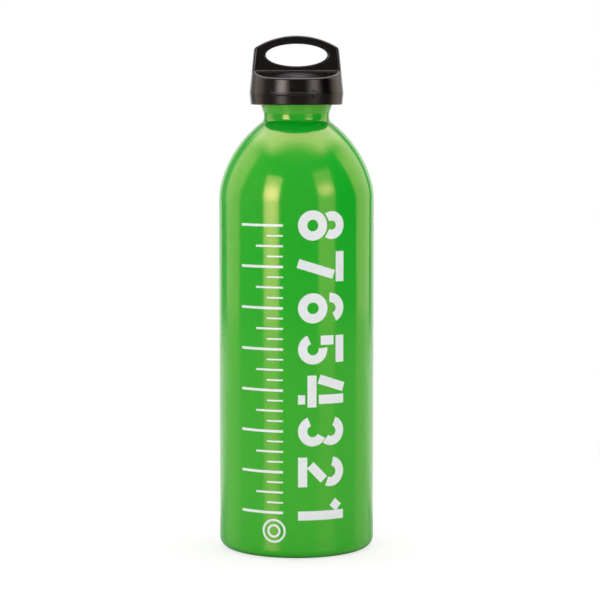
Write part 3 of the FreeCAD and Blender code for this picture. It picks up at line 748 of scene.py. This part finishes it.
def make_floor_finish():
    """Matt floor, polished in reflections, and white where it stands for the background.

    The camera sees it whiter further from the bottle, and gloss sees it white behind the bottle.
    """
    material = bpy.data.materials.new("pale_floor")
    material.use_nodes = True
    tree = material.node_tree
    tree.nodes.clear()
    rays = tree.nodes.new("ShaderNodeLightPath")
    camera, glossy = rays.outputs["Is Camera Ray"], rays.outputs["Is Glossy Ray"]
    place = object_place(tree)
    away = vector_node(tree, "LENGTH", place)
    matt = tree.nodes.new("ShaderNodeBsdfDiffuse")
    tree.links.new(mix_colours(tree, glossy, FLOOR_SHADE, FLOOR_MIRRORED), matt.inputs["Color"])
    polish = add_node(tree, "ShaderNodeBsdfGlossy", Color=FLOOR_POLISH, Roughness=FLOOR_POLISH_ROUGHNESS)
    sheen = tree.nodes.new("ShaderNodeFresnel")
    polished = blend_shaders(tree, math_node(tree, "MULTIPLY", glossy, sheen.outputs["Fac"]),
                             matt.outputs["BSDF"], polish.outputs["BSDF"])
    way = vector_node(tree, "NORMALIZE", vector_node(tree, "ADD", place, (0, 0, -BACKDROP_EYE)))
    back = split_vector(tree, way)["Y"]
    close = ramp_node(tree, away, *BACKDROP_CLOSE_REACH, 1.0, 0.0)
    close_behind = math_node(tree, "MULTIPLY", ramp_node(tree, back, *BACKDROP_CLOSE_STEP), close)
    behind = math_node(tree, "MAXIMUM", ramp_node(tree, back, *BACKDROP_STEP), close_behind)
    fade = ramp_node(tree, away, *FLOOR_FADE, FLOOR_WHITE_NEAR, 1.0)
    seen_white = math_node(tree, "MAXIMUM", math_node(tree, "MULTIPLY", camera, fade),
                           math_node(tree, "MULTIPLY", glossy, behind))
    white = add_node(tree, "ShaderNodeEmission", Color=(1, 1, 1, 1), Strength=1.0)
    blend = blend_shaders(tree, seen_white, polished, white.outputs["Emission"])
    result = tree.nodes.new("ShaderNodeOutputMaterial")
    tree.links.new(blend, result.inputs["Surface"])
    return material


def make_floor():
    """Wide pale floor: one square under the bottle."""
    reach = FLOOR_REACH
    corners = [(-reach, -reach, 0), (reach, -reach, 0), (reach, reach, 0), (-reach, reach, 0)]
    mesh = bpy.data.meshes.new("floor")
    mesh.from_pydata(corners, [], [(0, 1, 2, 3)])
    mesh.materials.append(make_floor_finish())
    floor = bpy.data.objects.new("floor", mesh)
    bpy.context.scene.collection.objects.link(floor)


def make_world():
    """White to the camera. Light and gloss see a white backdrop and a dim room, lighter above and left."""
    world = bpy.data.worlds.new("studio")
    bpy.context.scene.world = world
    world.use_nodes = True
    tree = world.node_tree
    ground = tree.nodes["Background"]
    ground.inputs["Color"].default_value = (1, 1, 1, 1)
    rays = tree.nodes.new("ShaderNodeLightPath")
    way = split_vector(tree, tree.nodes.new("ShaderNodeTexCoord").outputs["Generated"])
    level = math_node(tree, "MAXIMUM", rays.outputs["Is Camera Ray"], rays.outputs["Is Transmission Ray"])
    for axis, *step in ROOM_STEPS:
        level = math_node(tree, "MAXIMUM", level, ramp_node(tree, way[axis], *step))
    tree.links.new(level, ground.inputs["Strength"])


def make_softbox(name, azimuth, elevation, distance, size, radiance, colour=PLAIN, hot=0.0,
                 hot_place=(0.5, 0.5), hot_reach=(0.3, 0.2), edges=(0.12, 0.0, 0.0)):
    """Rectangular softbox at an azimuth from the front and an elevation, in degrees, facing the bottle.

    Its power is radiance * pi * area, so that a radiance of 1 shines as bright as white. Over its face, in
    shares (u, v) of the size, the light fades to nothing within the edges (both sides, foot, top), and a hot
    place adds hot * max(0, 1 - ((u - place) / reach)^2 - ((v - place) / reach)^2) ^ 2.
    """
    data = bpy.data.lights.new(name, "AREA")
    data.shape = "RECTANGLE"
    data.size, data.size_y = size
    data.energy = radiance * math.pi * size[0] * size[1]
    data.color = colour
    data.use_nodes = True
    tree = data.node_tree
    face = split_vector(tree, tree.nodes.new("ShaderNodeNewGeometry").outputs["Parametric"])
    left = 1.0
    for axis, middle, reach in zip("XY", hot_place, hot_reach):
        off = math_node(tree, "DIVIDE", math_node(tree, "SUBTRACT", face[axis], middle), reach)
        left = math_node(tree, "SUBTRACT", left, math_node(tree, "MULTIPLY", off, off))
    glow = math_node(tree, "POWER", math_node(tree, "MAXIMUM", left, 0.0), 2.0)
    level = math_node(tree, "ADD", math_node(tree, "MULTIPLY", glow, hot), 1.0)
    from_side = math_node(tree, "PINGPONG", face["X"], 0.5)
    from_top = math_node(tree, "SUBTRACT", 1.0, face["Y"])
    for inside, edge in zip((from_side, face["Y"], from_top), edges):
        if edge:
            level = math_node(tree, "MULTIPLY", level, ramp_node(tree, inside, 0.0, edge))
    tree.links.new(level, tree.nodes["Emission"].inputs["Strength"])
    lamp = bpy.data.objects.new(name, data)
    bpy.context.scene.collection.objects.link(lamp)
    turn, rise = math.radians(azimuth), math.radians(elevation)
    aim = (CAD_BOX[0] + CAD_BOX[1]) / 2
    lamp.location = (aim.x + distance * math.cos(rise) * math.sin(turn),
                     aim.y - distance * math.cos(rise) * math.cos(turn),
                     aim.z + distance * math.sin(rise))
    lamp.rotation_euler = (math.pi / 2 - rise, 0, turn)
    lamp.visible_camera = False
    return lamp


def make_camera():
    """The photo's camera: in front, a little above the middle, tilted down."""
    data = bpy.data.cameras.new("camera")
    data.sensor_width = CAMERA_SENSOR
    data.lens = CAMERA_LENS
    camera = bpy.data.objects.new("camera", data)
    camera.location = CAMERA_PLACE
    camera.rotation_euler = (math.radians(90 - CAMERA_TILT), 0, 0)
    bpy.context.scene.collection.objects.link(camera)
    bpy.context.scene.camera = camera


GRAIN = make_grain_group()
RUBS = make_rub_group()
WEAR_AND_HIGHLIGHT = make_wear_and_highlight_group()

lacquer = make_lacquer()
aluminium = make_metal("bare_aluminium", (0.80, 0.80, 0.81, 1), lines_per_metre=700.0, roughness=0.30)
steel = make_metal("spring_steel", (0.58, 0.58, 0.60, 1), lines_per_metre=1600.0, roughness=0.24)
# Black cap: its band at the foot is a scuff, and its band at the deck lip is a painted highlight
cap_plastic = make_moulded("cap_plastic", dark=(0.0006, 0.0005, 0.0005, 1), light=(0.0014, 0.0012, 0.0011, 1),
                           roughness=0.17, grain_per_metre=2600.0, scuff_and_highlight=(0.045, 0.040, 0.038, 1),
                           scuff_and_highlight_levels=((CAP_LOW.z, 0.0002), (DECK_LIP_LEVEL, 0.0002)))
plug_plastic = make_moulded("plug_plastic", dark=(0.050, 0.050, 0.052, 1), light=(0.066, 0.066, 0.068, 1),
                            roughness=0.46, grain_per_metre=2200.0, scuff_and_highlight=(0.12, 0.12, 0.12, 1),
                            scuff_and_highlight_levels=((PLUG_FOOT, 0.0006),))
rubber = make_moulded("seal_rubber", dark=(0.010, 0.010, 0.011, 1), light=(0.015, 0.015, 0.016, 1),
                      roughness=0.62, grain_per_metre=3200.0, scuff_and_highlight=(0.03, 0.03, 0.03, 1),
                      scuff_and_highlight_levels=((SEAL_TOP, 0.0003),))
ink = make_ink()

finish_bottle(lacquer, aluminium)
finish_node("cap_shell", cap_plastic)
finish_node("stopper", plug_plastic)
finish_node("o_ring", rubber)
finish_node("thrust_washer", steel)
finish_node("retaining_ring", steel)
finish_node("push_spring", steel)

make_coat(lacquer)
make_numerals(ink)
make_ticks(ink)
make_rings(ink)
make_arrows(cap_plastic)
make_spring(steel)

make_floor()
make_world()
make_softbox("left_window", azimuth=-37, elevation=15.0, distance=1.0, size=(0.50, 0.84), radiance=2.2,
             hot=2.3, hot_place=(0.5, 0.48), hot_reach=(0.65, 0.48), edges=(0.14, 0.0, 0.05))
make_softbox("right_window", azimuth=45, elevation=18.0, distance=1.0, size=(0.56, 1.00), radiance=0.9,
             hot=3.4, hot_place=(0.5, 0.54), hot_reach=(0.6, 0.27), edges=(0.14, 0.0, 0.12))
make_softbox("left_wall", azimuth=-109, elevation=25, distance=1.0, size=(0.82, 1.30), radiance=0.80,
             colour=WARM, hot=1.15, hot_place=(0.0, 1.1), hot_reach=(1.6, 1.2), edges=(0.18, 0.0, 0.32))
make_softbox("right_wall", azimuth=117.5, elevation=25, distance=1.0, size=(0.87, 1.30), radiance=1.0,
             colour=WARM, hot=1.0, hot_place=(1.0, 1.1), hot_reach=(1.6, 1.2), edges=(0.12, 0.0, 0.40))
make_softbox("overhead", azimuth=180, elevation=73, distance=1.1, size=(2.10, 2.20), radiance=1.65,
             hot=0.75, hot_place=(0.7, 0.56), hot_reach=(1.4, 0.45), edges=(0.20, 0.34, 0.30))
fill = make_softbox("right_fill", azimuth=75, elevation=20, distance=1.0, size=(0.80, 0.80), radiance=1.3)
fill.visible_glossy = False
make_camera()
bpy.context.scene.view_settings.view_transform = "Standard"
